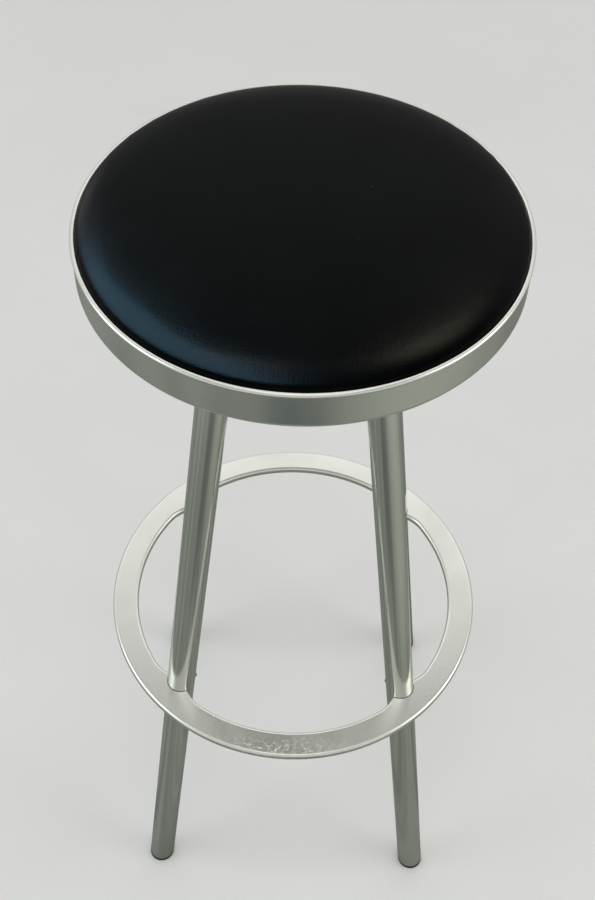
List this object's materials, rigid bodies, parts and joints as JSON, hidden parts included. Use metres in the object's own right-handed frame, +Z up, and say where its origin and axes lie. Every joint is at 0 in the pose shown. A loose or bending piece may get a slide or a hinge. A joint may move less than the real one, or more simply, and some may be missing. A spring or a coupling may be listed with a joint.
{
  "type": "bar stool",
  "caption": "Bar-height stool: round black pad in a shallow aluminium pan on splayed tube legs, with a flat foot ring.",
  "frame": {"origin": "on the floor, under the middle of the seat", "axes": "+Z up; -Y is the front; the legs stand on the diagonals between X and Y"},
  "size_m": [0.348, 0.348, 0.793],
  "materials": {
    "pad_skin": "matte, fine grain",
    "pan_metal": "satin anodised",
    "tube_metal": "bright satin anodised",
    "ring_metal": "satin anodised, scuffed",
    "plate_metal": "mill finish",
    "steel": "zinc plated",
    "board": "raw plywood",
    "glide_plastic": "moulded"
  },
  "bodies": {
    "root": {"seat_pad": "pad_skin", "pad_board": "board", "board_insert_front": "steel", "board_insert_right": "steel", "board_insert_back": "steel", "board_insert_left": "steel", "pad_screw_front": "steel", "pad_screw_right": "steel", "pad_screw_back": "steel", "pad_screw_left": "steel", "seat_pan": "pan_metal", "pan_stiffener": "plate_metal", "leg_front_left": "tube_metal", "leg_front_right": "tube_metal", "leg_back_right": "tube_metal", "leg_back_left": "tube_metal", "leg_plug_front_left": "plate_metal", "leg_plug_front_right": "plate_metal", "leg_plug_back_right": "plate_metal", "leg_plug_back_left": "plate_metal", "leg_bolt_front_left": "steel", "leg_bolt_front_right": "steel", "leg_bolt_back_right": "steel", "leg_bolt_back_left": "steel", "leg_washer_front_left": "steel", "leg_washer_front_right": "steel", "leg_washer_back_right": "steel", "leg_washer_back_left": "steel", "foot_ring": "ring_metal", "ring_screw_front_left": "steel", "ring_screw_front_right": "steel", "ring_screw_back_right": "steel", "ring_screw_back_left": "steel", "glide_front_left": "glide_plastic", "glide_front_right": "glide_plastic", "glide_back_right": "glide_plastic", "glide_back_left": "glide_plastic"}
  },
  "joints": []
}
